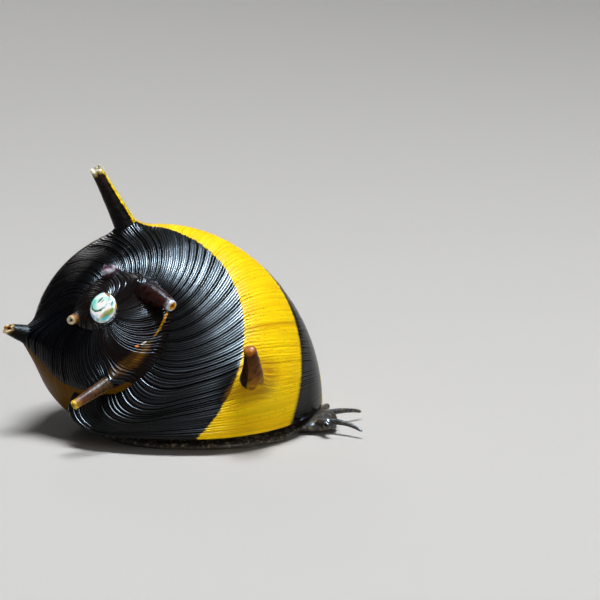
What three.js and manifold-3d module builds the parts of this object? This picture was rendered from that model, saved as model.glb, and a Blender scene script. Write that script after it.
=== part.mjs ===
// A horned nerite snail at life size, crawling towards +X with its shell just off the floor.
// Millimetres, +Z up, floor at z = 0, +Y on the animal's left. Right-handed (dextral) coil.
import * as THREE from "three";
import { mergeVertices } from "three/addons/utils/BufferGeometryUtils.js";
import Module from "manifold-3d";

const wasm = await Module();
wasm.setup();

// The clearance that neighbouring pieces keep, and how far the shell's lip hangs over the floor.
const GAP = 0.3;
const LIP_HEIGHT = 0.9;

// The middle of the whole animal seen from above, in the frame that the sizes below are given in.
const BOX_MIDDLE = [0.6, -0.379];

// The coil. Every whorl is the same section, grown as it turns about an axis through the apex.
// turn 0 is where the whorl passes its front upper side, and turns count up towards the lip.
const APEX = new THREE.Vector3(-3.94, -4.7, LIP_HEIGHT + 6.95);
const AXIS_AZIMUTH = -114.0;
const AXIS_RISE = 34.6;
const TURN_ZERO = 33.3;
const SHOULDER_RADIUS = 7.0;
const GROWTH = 2.338;
const FIRST_TURN = -2.35;
const SPIRE_END = -0.655;
const LAST_TURN = 0.375;
const SEAM_TURN = 0.012;
const BODY_START = -0.7;
const SPIRE_DEPTH = 2.2;

// The first turns are smaller than the even growth gives: from EARLY_TURN back they shrink
// over EARLY_RUN of a turn to EARLY_SHARE of it.
const EARLY_TURN = -1.36;
const EARLY_RUN = 0.3;
const EARLY_SHARE = 0.5;

// The whorl's section in shoulder radii: [distance from the axis, depth below the apex].
// It runs out from the suture along the ramp, over the shoulder, round the flank and base to the columella.
// SUTURE_REACH is a share of the ramp's width.
const RAMP_LIFT = 0.034;
const SHOULDER_DEPTH = 0.448;
const SHOULDER_SLOPE = 34.1;
const RAMP_SLOPE = 3.1;
const SUTURE_REACH = 0.31;
const SHOULDER_REACH = 0.332;
const FLANK_REACH = [0.474, 0.399];
const BASE_REACH = [0.195, 0.106];
const BASE_POINT = [0.894, 1.973];
const COLUMELLA_POINT = [0.157, 1.513];
const COLUMELLA_SLOPE = 16.7;

// Inside, each whorl closes on a thin bore along the axis, which a rod fills from below the apex
// to the columella's foot. The spire's own plug drops from its rim to a point of the section.
const AXIS_BORE = 0.004;
const AXIS_ROD = { radius: 0.35, top: 0.5, bottom: 12.3, sides: 12 };
const ROD_LAP = 1.0;
const PLUG_POINT = [0.995, 1.6];

// Horns along the shoulder: the turn and the place on the section (1 is the shoulder) of the foot, the length,
// the root and tip radius, the power that the radius falls off by, and how they lean
// [outwards, towards the apex, forwards along the growth].
const HORNS = [
  { turn: -1.434, at: 0.98, length: 0.87, root: 0.42, tip: 0.25, taper: 1.0, lean: [0.29, 0.7, -0.65] },
  { turn: -1.19, at: 1.0, length: 0.5, root: 0.6, tip: 0.36, taper: 1.0, lean: [0.6, 0.78, -0.19] },
  { turn: -1.05, at: 0.8, length: 2.9, root: 0.85, tip: 0.31, taper: 1.2, lean: [0.1, 0.29, 0.95] },
  { turn: -0.705, at: 0.93, length: 3.1, root: 0.55, tip: 0.27, taper: 1.4, lean: [0.54, 0.53, 0.62] },
  { turn: -0.453, at: 1.0, length: 1.84, root: 1.05, tip: 0.36, taper: 1.6, lean: [0.68, 0.7, 0.18] },
  { turn: -0.19, at: 1.06, length: 3.93, root: 0.95, tip: 0.35, taper: 1.6, lean: [0.68, 0.7, -0.26] },
  { turn: 0.135, at: 1.09, length: 3.25, root: 0.75, tip: 0.37, taper: 1.2, lean: [0.14, 0.89, -0.39] },
];
const HORN_SIDES = 12;
const HORN_STEPS = 6;
const HORN_SINK = 1.1;

// The mouth of the shell: the run of the section and of the turns that it takes in, its wall and its top.
const MOUTH_SECTION = [4, 28];
const MOUTH_TURNS = [-0.02, 0.36];
const LIP_WALL = 0.9;
const MOUTH_TOP = LIP_HEIGHT + 2.0;
const MOUTH_STEPS = 18;
const NECK_TRIM = 0.02;
const NECK_LAP = 0.05;

// The nacre apex, a low dome on a short round plug, and the pocket that it is let into.
const NACRE = { radius: 0.8, top: 0.08, shoulder: 0.34, bottom: 0.95, sides: 24 };
const POCKET_GAP = 0.2;
const POCKET_RISE = 2.0;

// The deck under the body whorl and the foot: layers of [z, half length, half width].
const DECK_MIDDLE = [-0.4, 0.2];
const DECK_LAYERS = [[LIP_HEIGHT, 5.5, 4.6], [LIP_HEIGHT + 0.5, 6.1, 5.2], [LIP_HEIGHT + 1.6, 6.7, 5.8],
  [LIP_HEIGHT + 3.6, 7.0, 6.2]];
const FOOT_MIDDLE = [1.1, -1.0];
const FOOT_LAYERS = [[0, 5.4, 4.1], [0.2, 5.7, 4.4], [LIP_HEIGHT - GAP, 5.3, 4.0]];

// The head, tentacles and eyes, about a line along +X that lies to the right of the middle.
const MIDLINE = -0.9;
const HEAD_STATIONS = [[6.1, 0.9, 0.1, 0.5], [6.8, 1.4, 0.06, 0.62], [7.8, 1.6, 0.06, 0.9], [8.6, 1.5, 0.06, 1.05],
  [9.0, 1.2, 0.08, 0.95], [9.3, 0.7, 0.2, 0.75]];
const HEAD_ROOM = [[5.8, 1.0, 0.1, 0.5], [6.1, 1.0, 0.1, 0.5], [6.8, 1.4, 0.06, 0.62], [8.6, 1.6, 0.06, 0.9]];
const MOUTH_LINE = [0.5, 0.8, 0.12];
const MOUTH_LINE_HEIGHT = 0.38;
const TENTACLE = { from: [8.2, 0.7, 0.6], to: [10.7, 2.4, 0.42], root: 0.3, tip: 0.12 };
const EYE = { from: [8.2, 1.3, 0.6], to: [8.75, 2.35, 0.72], root: 0.27, tip: 0.26 };

// Facets.
const ROUND_SIDES = 20;
const PAD_SIDES = 44;
const STEPS_PER_TURN = 44;
const SECTION_STEPS = [8, 14, 9];
const WEDGE_STEPS = 11;
const STALK_SIDES = 10;

// Edges shorter than this, which cuts leave, are closed up.
const FINEST = 0.02;

const radians = THREE.MathUtils.degToRad;
const axis = new THREE.Vector3(
  Math.cos(radians(AXIS_RISE)) * Math.cos(radians(AXIS_AZIMUTH)),
  Math.cos(radians(AXIS_RISE)) * Math.sin(radians(AXIS_AZIMUTH)),
  Math.sin(radians(AXIS_RISE)),
);
const level = new THREE.Vector3(0, 0, 1).cross(axis).normalize();
const rise = new THREE.Vector3().crossVectors(axis, level);

function whorlRadius(turn) {
  const early = THREE.MathUtils.smoothstep(EARLY_TURN - turn, 0, EARLY_RUN);
  return SHOULDER_RADIUS * GROWTH ** turn * (1 - (1 - EARLY_SHARE) * early);
}

// The unit vector from the axis out to the whorl at a turn.
function outward(turn) {
  const angle = radians(TURN_ZERO - 360 * turn);
  return level.clone().multiplyScalar(Math.cos(angle)).addScaledVector(rise, Math.sin(angle));
}

// The section's outer line at a turn as three joined Bezier arcs. The suture lies on the shoulder of the
// whorl inside, a turn back.
function sectionCurve(turn) {
  const inner = whorlRadius(turn - 1) / whorlRadius(turn);
  const suture = new THREE.Vector2(inner, SHOULDER_DEPTH * inner + RAMP_LIFT);
  const shoulder = new THREE.Vector2(1, SHOULDER_DEPTH);
  const base = new THREE.Vector2(...BASE_POINT);
  const columella = new THREE.Vector2(...COLUMELLA_POINT);
  const along = (from, degrees, reach) =>
    from.clone().add(new THREE.Vector2(Math.cos(radians(degrees)), Math.sin(radians(degrees))).multiplyScalar(reach));
  const path = new THREE.CurvePath();
  path.add(new THREE.CubicBezierCurve(
    suture, along(suture, RAMP_SLOPE, SUTURE_REACH * (1 - inner)), along(shoulder, SHOULDER_SLOPE, -SHOULDER_REACH),
    shoulder));
  path.add(new THREE.CubicBezierCurve(
    shoulder, along(shoulder, SHOULDER_SLOPE, FLANK_REACH[0]), along(base, 0, FLANK_REACH[1]), base));
  path.add(new THREE.CubicBezierCurve(
    base, along(base, 0, -BASE_REACH[0]), along(columella, COLUMELLA_SLOPE, BASE_REACH[1]), columella));
  return path;
}

// Its points from the suture inwards, and those of the spire's plug, which drops straight in at the rim.
function sectionLine(turn) {
  const points = [];
  sectionCurve(turn).curves.forEach((arc, i) => {
    const row = arc.getPoints(SECTION_STEPS[i]);
    points.push(...(i ? row.slice(1) : row));
  });
  return points;
}
const plugLine = (turn) => [...sectionLine(turn).slice(0, SECTION_STEPS[0] + 1), new THREE.Vector2(...PLUG_POINT)];

// The same line moved out (or in, if negative) by a distance, square to itself.
function offsetLine(points, distance) {
  return points.map((p, i) => {
    const a = points[Math.max(i - 1, 0)];
    const b = points[Math.min(i + 1, points.length - 1)];
    const along = b.clone().sub(a).normalize();
    return new THREE.Vector2(p.x + along.y * distance, p.y - along.x * distance);
  });
}

// Places a section point [distance from the axis, depth] in shoulder radii at a turn.
function place(point, turn) {
  const scale = whorlRadius(turn);
  return APEX.clone()
    .addScaledVector(outward(turn), point.x * scale)
    .addScaledVector(axis, -point.y * scale);
}

function geometryFrom(points, faces) {
  const geometry = new THREE.BufferGeometry();
  geometry.setAttribute("position", new THREE.Float32BufferAttribute(points.flatMap((p) => p.toArray()), 3));
  geometry.setIndex(faces.flat());
  return geometry;
}

function solidFrom(geometry) {
  const bare = geometry.clone();
  bare.deleteAttribute("normal");
  bare.deleteAttribute("uv");
  const merged = mergeVertices(bare, 1e-4);
  return new wasm.Manifold(new wasm.Mesh({
    numProp: 3,
    vertProperties: new Float32Array(merged.attributes.position.array),
    triVerts: new Uint32Array(merged.index.array),
  }));
}

function geometryOf(solid) {
  const mesh = solid.getMesh();
  const geometry = new THREE.BufferGeometry();
  geometry.setAttribute("position", new THREE.BufferAttribute(new Float32Array(mesh.vertProperties), 3));
  geometry.setIndex(new THREE.BufferAttribute(new Uint32Array(mesh.triVerts), 1));
  geometry.computeVertexNormals();
  return geometry;
}

const arc = (steps, f) => Array.from({ length: steps + 1 }, (_, i) => f(i / steps));
const union = (solids) => solids.reduce((sum, solid) => sum.add(solid));

// Of what a union or a cut leaves, only the largest closed surface.
function largest(solid) {
  const pieces = solid.simplify(FINEST).decompose();
  return pieces.reduce((best, piece) => (piece.volume() > best.volume() ? piece : best));
}

// A solid carried through rings of points, closed by the same flat cap at both ends. Rings that run
// against their own turning sense are taken in reverse, so that the faces point out.
function loft(rings, cap) {
  const count = rings[0].length;
  const faces = [];
  for (let i = 0; i + 1 < rings.length; i++)
    for (let j = 0; j < count; j++) {
      const [a, b] = [i * count + j, i * count + ((j + 1) % count)];
      faces.push([a, b + count, b], [a, a + count, b + count]);
    }
  const last = (rings.length - 1) * count;
  for (const [a, b, c] of cap) faces.push([a, b, c], [last + a, last + c, last + b]);
  const solid = solidFrom(geometryFrom(rings.flat(), faces));
  return solid.volume() > 0 ? solid : loft([...rings].reverse(), cap);
}

// Whorls from one turn to another: wedges of part of a turn, each closed at the axis, joined.
// line(turn) gives the section's outer line there.
function whorls(from, to, line) {
  const solids = [];
  const steps = Math.ceil((to - from) * STEPS_PER_TURN);
  for (let first = 0; first < steps; first += WEDGE_STEPS) {
    const rings = [];
    let cap;
    for (let i = first; i <= Math.min(first + WEDGE_STEPS, steps); i++) {
      const turn = from + ((to - from) * i) / steps;
      const points = line(turn);
      const loop = [
        ...points,
        new THREE.Vector2(AXIS_BORE, points[points.length - 1].y),
        new THREE.Vector2(AXIS_BORE, points[0].y),
      ];
      cap ??= THREE.ShapeUtils.triangulateShape(loop, []);
      rings.push(loop.map((p) => place(p, turn)));
    }
    solids.push(loft(rings, cap));
  }
  return union(solids);
}

// A rod along the coil axis, which fills the bore that the wedges leave.
function axisRod(radius, top, bottom) {
  const rod = new THREE.CylinderGeometry(radius, radius, bottom - top, AXIS_ROD.sides);
  rod.applyQuaternion(new THREE.Quaternion().setFromUnitVectors(new THREE.Vector3(0, 1, 0), axis));
  const middle = APEX.clone().addScaledVector(axis, -(top + bottom) / 2);
  rod.translate(middle.x, middle.y, middle.z);
  return solidFrom(rod);
}

// A section line swollen by a clearance.
const swell = (line, clearance) => (turn) => offsetLine(line(turn), clearance / whorlRadius(turn));

// The triangles of a ring's flat cap.
const fan = (sides) => Array.from({ length: sides - 2 }, (_, k) => [0, k + 1, k + 2]);

// One horn: a tapered tube of few sides, its root sunk in the whorl square to the surface.
function horn({ turn, at, length, root, tip, taper, lean }) {
  const arcs = sectionCurve(turn).curves;
  const part = Math.min(Math.floor(at), arcs.length - 1);
  const point = arcs[part].getPoint(at - part);
  const slope = arcs[part].getTangent(at - part);
  const foot = place(point, turn);
  const ahead = place(point, turn + 0.01).sub(foot).normalize();
  const direction = outward(turn).multiplyScalar(lean[0])
    .addScaledVector(axis, lean[1])
    .addScaledVector(ahead, lean[2])
    .normalize();
  const sideways = new THREE.Vector3().crossVectors(direction, axis).normalize();
  const across = new THREE.Vector3().crossVectors(sideways, direction);
  const sunk = foot.clone()
    .addScaledVector(outward(turn), -slope.y * HORN_SINK * root)
    .addScaledVector(axis, -slope.x * HORN_SINK * root)
    .addScaledVector(direction, -root);
  const ring = (centre, radius) => Array.from({ length: HORN_SIDES }, (_, k) => {
    const angle = (2 * Math.PI * k) / HORN_SIDES;
    return centre.clone()
      .addScaledVector(sideways, radius * Math.cos(angle))
      .addScaledVector(across, radius * Math.sin(angle));
  });
  const rings = arc(HORN_STEPS, (u) =>
    ring(foot.clone().addScaledVector(direction, length * u), tip + (root - tip) * (1 - u) ** taper));
  return loft([ring(sunk, root), ...rings], fan(HORN_SIDES));
}

// A body of oval rings along +X: stations give [x, half width, low z, high z].
function ovalBody(stations, middle, clearance) {
  const rings = stations.map(([x, half, low, high]) =>
    Array.from({ length: ROUND_SIDES }, (_, k) => {
      const angle = (2 * Math.PI * k) / ROUND_SIDES;
      const y = middle + (half + clearance) * Math.cos(angle);
      const z = (low + high) / 2 + ((high - low) / 2 + clearance) * Math.sin(angle);
      return new THREE.Vector3(x, y, z);
    }));
  return loft(rings, fan(ROUND_SIDES));
}

// A pad of level oval rings: layers give [z, half length, half width] about a middle point.
function pad(layers, middle) {
  const rings = layers.map(([z, long, wide]) =>
    Array.from({ length: PAD_SIDES }, (_, k) => {
      const angle = (2 * Math.PI * k) / PAD_SIDES;
      return new THREE.Vector3(middle[0] + long * Math.cos(angle), middle[1] + wide * Math.sin(angle), z);
    }));
  return loft(rings, fan(PAD_SIDES));
}

// A straight tapered stalk with a round end, from one point to another.
function stalk(from, to, root, tip) {
  const start = new THREE.Vector3(...from);
  const along = new THREE.Vector3(...to).sub(start);
  const length = along.length();
  const end = arc(3, (u) => [tip * Math.cos((u * Math.PI) / 2), length - tip + tip * Math.sin((u * Math.PI) / 2)]);
  end[end.length - 1][0] = 0;
  return turned([[0, 0], [root, 0], ...end], STALK_SIDES, start, along.normalize());
}

// A solid of revolution about an axis through a point, from a profile of [radius, height] pairs.
function turned(profile, sides, point, direction) {
  const lathe = new THREE.LatheGeometry(profile.map((p) => new THREE.Vector2(...p)), sides);
  lathe.applyQuaternion(new THREE.Quaternion().setFromUnitVectors(new THREE.Vector3(0, 1, 0), direction));
  lathe.translate(point.x, point.y, point.z);
  return solidFrom(lathe);
}

// The nacre apex and its pocket in the spire.
const nacreDome = arc(5, (u) => [
  NACRE.radius * Math.cos((u * Math.PI) / 2),
  -NACRE.shoulder + (NACRE.shoulder - NACRE.top) * Math.sin((u * Math.PI) / 2),
]);
nacreDome[nacreDome.length - 1][0] = 0;
const nacreProfile = [[0, -NACRE.bottom], [NACRE.radius, -NACRE.bottom], ...nacreDome];
const nacre = turned(nacreProfile, NACRE.sides, APEX, axis);
const pocketRadius = NACRE.radius + POCKET_GAP;
const pocketFloor = -NACRE.bottom - POCKET_GAP;
const pocketProfile = [[0, pocketFloor], [pocketRadius, pocketFloor], [pocketRadius, POCKET_RISE], [0, POCKET_RISE]];
const pocket = turned(pocketProfile, NACRE.sides, APEX, axis);

// The spire: the early whorls down to the last turn of growth, with the horns they carry,
// parted from the body whorl by a thin cut that follows the suture and then crosses the axis.
const aboveDepth = (solid, depth) => solid.trimByPlane(axis.toArray(), axis.dot(APEX) - depth);
const spireHorns = HORNS.filter((h) => h.turn < SPIRE_END);
const swollen = (h) => ({ ...h, length: h.length + GAP, root: h.root + GAP, tip: h.tip + GAP });
const spireRod = axisRod(AXIS_ROD.radius, AXIS_ROD.top, SPIRE_DEPTH + ROD_LAP);
const spireForm = union([whorls(FIRST_TURN, SPIRE_END, plugLine), spireRod, ...spireHorns.map(horn)]);
const spireRoom = union([
  whorls(FIRST_TURN, SPIRE_END + SEAM_TURN, swell(plugLine, GAP)),
  spireRod,
  ...spireHorns.map(swollen).map(horn),
]);
const spire = largest(aboveDepth(spireForm, SPIRE_DEPTH).subtract(pocket));

// The mouth of the shell: the last whorl's section drawn in by the lip's wall, as deep as the flesh goes.
// The neck of the foot is the same form, drawn in all round by the gap.
function mouth(gap) {
  const trim = gap > 0 ? 1 : 0;
  const line = (turn) => sectionLine(turn).slice(MOUTH_SECTION[0] + trim, MOUTH_SECTION[1] - trim);
  const [from, to] = [MOUTH_TURNS[0] + trim * NECK_TRIM, MOUTH_TURNS[1] - trim * NECK_TRIM];
  const rings = arc(MOUTH_STEPS, (u) => {
    const turn = from + (to - from) * u;
    return offsetLine(line(turn), -(LIP_WALL + gap) / whorlRadius(turn)).map((p) => place(p, turn));
  });
  const cap = THREE.ShapeUtils.triangulateShape(line(from), []);
  return loft(rings, cap).trimByPlane([0, 0, -1], gap - MOUTH_TOP);
}

// The body whorl: the last turn, seated round the spire, with its own horns, cut level at the lip
// and hollowed at the mouth.
const bodyForm = union([
  whorls(BODY_START, LAST_TURN, sectionLine),
  axisRod(AXIS_ROD.radius, SPIRE_DEPTH - ROD_LAP / 2, AXIS_ROD.bottom),
  ...HORNS.filter((h) => h.turn >= SPIRE_END).map(horn),
]);
const bodyWhorl = largest(
  bodyForm.trimByPlane([0, 0, 1], LIP_HEIGHT)
    .subtract(aboveDepth(spireRoom, SPIRE_DEPTH + GAP))
    .subtract(mouth(0)));

// The room that the shell takes, swollen by the gap, for what lies under and before it.
const shellRoom = whorls(BODY_START, LAST_TURN, swell(sectionLine, GAP))
  .add(axisRod(AXIS_ROD.radius + GAP, SPIRE_DEPTH, AXIS_ROD.bottom + GAP))
  .trimByPlane([0, 0, 1], LIP_HEIGHT - GAP);

// The columellar deck: the callus that fills the underside behind the mouth, level with the lip.
const deck = largest(pad(DECK_LAYERS, DECK_MIDDLE).subtract(shellRoom));

// The head, with the line of the mouth across the snout.
const headForm = (clearance) => ovalBody(HEAD_STATIONS, MIDLINE, clearance);
const mouthLineBox = new THREE.BoxGeometry(...MOUTH_LINE);
mouthLineBox.translate(HEAD_STATIONS[HEAD_STATIONS.length - 1][0], MIDLINE, MOUTH_LINE_HEIGHT);
const head = largest(headForm(0).subtract(shellRoom).subtract(solidFrom(mouthLineBox)));

// The foot: a flat-soled pad under the whole mouth, with a neck that fills the mouth of the shell.
const footPad = pad(FOOT_LAYERS, FOOT_MIDDLE);
const neck = mouth(GAP).trimByPlane([0, 0, 1], LIP_HEIGHT - GAP - NECK_LAP);
const foot = largest(footPad.add(neck).subtract(ovalBody(HEAD_ROOM, MIDLINE, GAP)));

// Tentacles and eye stalks, mirrored across the midline, each cut clear of the head.
function headLimb(from, to, root, tip, side) {
  const across = ([x, y, z]) => [x, MIDLINE + side * y, z];
  return largest(stalk(across(from), across(to), root, tip).subtract(headForm(GAP)).subtract(shellRoom));
}

const snail = new THREE.Group();
function addNode(name, solid, color, roughness) {
  const material = new THREE.MeshStandardMaterial({ color, roughness, metalness: 0 });
  const mesh = new THREE.Mesh(geometryOf(solid), material);
  mesh.name = name;
  snail.add(mesh);
}
addNode("foot", foot, 0x3a3230, 0.5);
addNode("head", head, 0x3a3230, 0.5);
for (const [name, side] of [["left", 1], ["right", -1]]) {
  addNode(`tentacle_${name}`, headLimb(TENTACLE.from, TENTACLE.to, TENTACLE.root, TENTACLE.tip, side), 0x2a2422, 0.5);
  addNode(`eye_${name}`, headLimb(EYE.from, EYE.to, EYE.root, EYE.tip, side), 0x050505, 0.15);
}
addNode("columella_deck", deck, 0x9a8f6a, 0.4);
addNode("shell_body_whorl", bodyWhorl, 0x14100f, 0.25);
addNode("shell_spire", spire, 0x14100f, 0.25);
addNode("apex_nacre", nacre, 0xcfe8e0, 0.2);

// The origin is on the floor under the middle of the whole animal, seen from above.
snail.position.set(-BOX_MIDDLE[0], -BOX_MIDDLE[1], 0);
export default snail;
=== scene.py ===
import math

import bpy
import numpy as np
from mathutils import Matrix, Vector
from mathutils.bvhtree import BVHTree


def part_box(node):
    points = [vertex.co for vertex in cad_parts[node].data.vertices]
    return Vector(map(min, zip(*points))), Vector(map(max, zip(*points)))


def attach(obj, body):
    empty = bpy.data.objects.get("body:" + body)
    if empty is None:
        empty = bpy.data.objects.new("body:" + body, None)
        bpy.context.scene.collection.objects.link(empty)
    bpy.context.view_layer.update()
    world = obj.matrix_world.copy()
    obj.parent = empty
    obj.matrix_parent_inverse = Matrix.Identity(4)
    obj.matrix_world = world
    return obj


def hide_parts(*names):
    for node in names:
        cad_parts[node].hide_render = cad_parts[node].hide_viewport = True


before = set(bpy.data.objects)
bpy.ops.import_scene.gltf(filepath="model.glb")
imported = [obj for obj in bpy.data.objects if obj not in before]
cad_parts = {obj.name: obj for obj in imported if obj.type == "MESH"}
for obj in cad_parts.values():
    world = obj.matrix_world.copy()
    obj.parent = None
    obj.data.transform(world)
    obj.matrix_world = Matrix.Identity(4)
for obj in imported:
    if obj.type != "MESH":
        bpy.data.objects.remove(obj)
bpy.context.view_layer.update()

# The studio: a grey floor, a soft light above, two cool ones beside it that show only as glints on the ribs,
# faint ones in front and behind, and the camera, which looks at the spire side from a little above.
# Lengths are millimetres here and in every section. MM turns them into metres.
MM = 0.001
COIL_APEX = np.array([-4.54, -4.321, 7.85])
VIEW_RISE = 12.0
VIEW_DISTANCE = 250.0
VIEW_WIDTH = 33.6
APEX_LEFT_OF_MIDDLE = 11.07
APEX_BELOW_MIDDLE = 0.496
FLOOR_HALF = 2500.0
FLOOR_COLOUR = (0.46, 0.45, 0.435, 1)
SKY_COLOUR = (0.78, 0.8, 0.83, 1)
SKY_STRENGTH = 0.07
NEAREST_SEEN = 10.0
LIGHTS = [  # name, place, aim, width and length, power, colour, whether it lights, whether it shows as glints
    ("key_light", (25, -20, 260), (0, 0, 5), (110, 110), 0.95, (0.97, 0.98, 1), True, False),
    ("gloss_light", (38, -46, 250), (28, -6, 5), (26, 290), 4.0, (0.62, 0.81, 1), False, True),
    ("core_light", (46, -22, 250), (36, 5, 5), (40, 100), 4.2, (0.66, 0.84, 1), False, True),
    ("fill_light", (150, -200, 90), (0, 0, 5), (90, 90), 0.12, (1, 0.97, 0.92), True, True),
    ("rim_light", (-60, 220, 100), (0, 0, 6), (60, 60), 0.06, (1, 1, 1), True, True),
]


def node(tree, kind, inputs=None, **settings):
    """A shader node with its settings, each input given a value or another node's output."""
    made = tree.nodes.new("ShaderNode" + kind)
    for name, value in settings.items():
        setattr(made, name, value)
    for name, value in (inputs or {}).items():
        if isinstance(value, bpy.types.NodeSocket):
            tree.links.new(value, made.inputs[name])
        else:
            made.inputs[name].default_value = value
    return made


def finish(name, **plain):
    """A new material with plain values set on its surface shader, and its tree and that shader."""
    material = bpy.data.materials.new(name)
    material.use_nodes = True
    shader = material.node_tree.nodes["Principled BSDF"]
    for socket, value in plain.items():
        shader.inputs[socket.replace("_", " ")].default_value = value
    return material, material.node_tree, shader


def quads(rows, columns, wrap=False):
    """Quads between neighbouring points of a grid. With wrap the last column meets the first."""
    i, j = np.meshgrid(np.arange(rows - 1), np.arange(columns if wrap else columns - 1), indexing="ij")
    k = (j + 1) % columns
    corners = [i * columns + j, i * columns + k, (i + 1) * columns + k, (i + 1) * columns + j]
    return np.stack(corners, -1).reshape(-1, 4)


def make_piece(name, points, faces, materials, uv=None):
    """A smooth mesh, its faces outwards, from points in millimetres and blocks of faces, with a UV value for
    each point if given."""
    mesh = bpy.data.meshes.new(name)
    mesh.from_pydata((points * MM).tolist(), [], [face for block in faces for face in block.tolist()])
    if uv is not None:
        corners = np.empty(len(mesh.loops), dtype=np.int64)
        mesh.loops.foreach_get("vertex_index", corners)
        mesh.uv_layers.new(name="lie").data.foreach_set("uv", uv[corners].astype(np.float32).ravel())
    piece = bpy.data.objects.new(name, mesh)
    bpy.context.collection.objects.link(piece)
    bpy.context.view_layer.objects.active = piece
    bpy.ops.object.mode_set(mode="EDIT")
    bpy.ops.mesh.select_all(action="SELECT")
    bpy.ops.mesh.normals_make_consistent(inside=False)
    bpy.ops.object.mode_set(mode="OBJECT")
    mesh.polygons.foreach_set("use_smooth", np.ones(len(mesh.polygons), dtype=bool))
    for material in materials:
        mesh.materials.append(material)
    return piece


def area_light(name, place, aim, size, power, colour, lights, glints):
    """A soft light of a width and a length at a place, turned to face its aim. It lights what it falls on,
    shows as highlights on what is glossy, or both."""
    lamp = bpy.data.lights.new(name, "AREA")
    lamp.shape = "RECTANGLE"
    lamp.size, lamp.size_y = size[0] * MM, size[1] * MM
    lamp.energy = power
    lamp.color = colour
    light = bpy.data.objects.new(name, lamp)
    light.location = np.array(place) * MM
    light.rotation_euler = Vector(np.subtract(aim, place)).to_track_quat("-Z", "Y").to_euler()
    light.visible_diffuse = lights
    light.visible_glossy = glints
    bpy.context.collection.objects.link(light)


rise_angle = math.radians(VIEW_RISE)
view_right = np.array([1.0, 0.0, 0.0])
view_up = np.array([0.0, math.sin(rise_angle), math.cos(rise_angle)])
view_back = np.array([0.0, -math.cos(rise_angle), math.sin(rise_angle)])
aim = COIL_APEX + APEX_LEFT_OF_MIDDLE * view_right + APEX_BELOW_MIDDLE * view_up
camera = bpy.data.objects.new("camera", bpy.data.cameras.new("camera"))
camera.location = (aim + VIEW_DISTANCE * view_back) * MM
camera.rotation_euler = (math.pi / 2 - rise_angle, 0, 0)
camera.data.lens = camera.data.sensor_width * VIEW_DISTANCE / VIEW_WIDTH
camera.data.clip_start = NEAREST_SEEN * MM
bpy.context.collection.objects.link(camera)
bpy.context.scene.camera = camera

floor_corners = FLOOR_HALF * np.array([[-1, -1, 0], [1, -1, 0], [1, 1, 0], [-1, 1, 0]])
floor_look = finish("studio_floor", Base_Color=FLOOR_COLOUR, Roughness=0.8, Specular_IOR_Level=0.05)[0]
floor = make_piece("studio_floor", floor_corners, [np.array([[0, 1, 2, 3]])], [floor_look])
for light in LIGHTS:
    area_light(*light)
world = bpy.data.worlds.new("studio_sky")
world.use_nodes = True
world.node_tree.nodes["Background"].inputs["Color"].default_value = SKY_COLOUR
world.node_tree.nodes["Background"].inputs["Strength"].default_value = SKY_STRENGTH
bpy.context.scene.world = world
bpy.context.scene.view_settings.view_transform = "Standard"

# The body whorl: the last turn of the shell, nearly all that a crawling snail shows from the side. It is one
# wall of lime under a black and yellow skin, ribbed along its growth and open at the mouth below, grown out
# from the spire as one section, in shoulder radii, that turns about a leaning axis and widens as it turns.
AXIS_AZIMUTH = -114.0
AXIS_RISE = 34.6
TURN_ZERO = 33.3
SHOULDER_RADIUS = 7.0
GROWTH = 2.338
EARLY_TURN = -1.36
EARLY_RUN = 0.3
EARLY_SHARE = 0.5
# The section's corners, the slopes at them and the lengths of the handles of the cubics between them.
SHOULDER = np.array([1.0, 0.448])
BASE = np.array([0.894, 1.973])
COLUMELLA = np.array([0.157, 1.513])
SUTURE_STEP = 0.034
RAMP_SLOPE = math.radians(3.1)
SHOULDER_SLOPE = math.radians(34.1)
COLUMELLA_SLOPE = math.radians(16.7)
RAMP_PULLS = (0.31, 0.332)
FLANK_PULLS = (0.474, 0.399)
BASE_PULLS = (0.195, 0.106)
# The lip, the growth lines that end at it, and the seam with the spire.
LIP_HEIGHT = 0.9
LIP_CLEARANCE = 0.06
LIP_REACH = 0.6
LIP_STEP = 0.01
LIP_TURNS = (-0.1, 0.4)
LIP_HALVINGS = 30
LIP_AT_SUTURE = 0.4
LIP_RUN = 0.14
LAST_GROWTH = 0.32
RIB_SLANT = 0.1
RIB_BOW = 0.55
BASE_CURL = 0.09
CURL_FROM = 1.9
SEAM_GROWTH = -0.95
SEAM_LAP = 0.05
SEAM_SUNK = 0.06
SEAM_RUN = 0.01
# The wall, its mesh and the ribs on it. A growth stop is at a count of ribs, with a share of the full depth.
BODY_ROWS = 1180
FEWEST_ROWS = 60
ACROSS = 60
LINING_STEP = 3
WHOLE_SECTION = 3.0
WALL = 0.7
WALL_OF_RADIUS = 0.3
LIP_RADIUS = 0.22
LIP_SMOOTH = 0.5
LIP_THINNING = 3.0
WANDER_GRID = (512, 256)
RIB_CHANCES = 1024
RIB_SPACING = 0.2
RIB_HEIGHT = 0.026
RIB_WANDER = (0.3, 0.17, 1.1)
SWELL = (0.015, 0.08, 3.0)
GROOVE_DEPTH = 0.09
GROOVE_WIDTH = 0.29
DEEP_GROOVES = 0.64
SHALLOW_GROOVES = (0.3, 0.45)
GROWTH_STOPS = [(275.6, 0.6), (287.0, 0.9), (251.0, 0.3), (222.0, 0.5), (188.0, 0.4)]
STOP_DEPTH = 0.05
STOP_WIDTH = 0.4
FLANK_RIBS = 0.14
RAMP_RIBS_END = 1.02
RIBS_FADE = 0.03
FLARE_FALL = 2.4
FLARE_TOP = 0.3
FLARE_TURNS = 0.35
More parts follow.
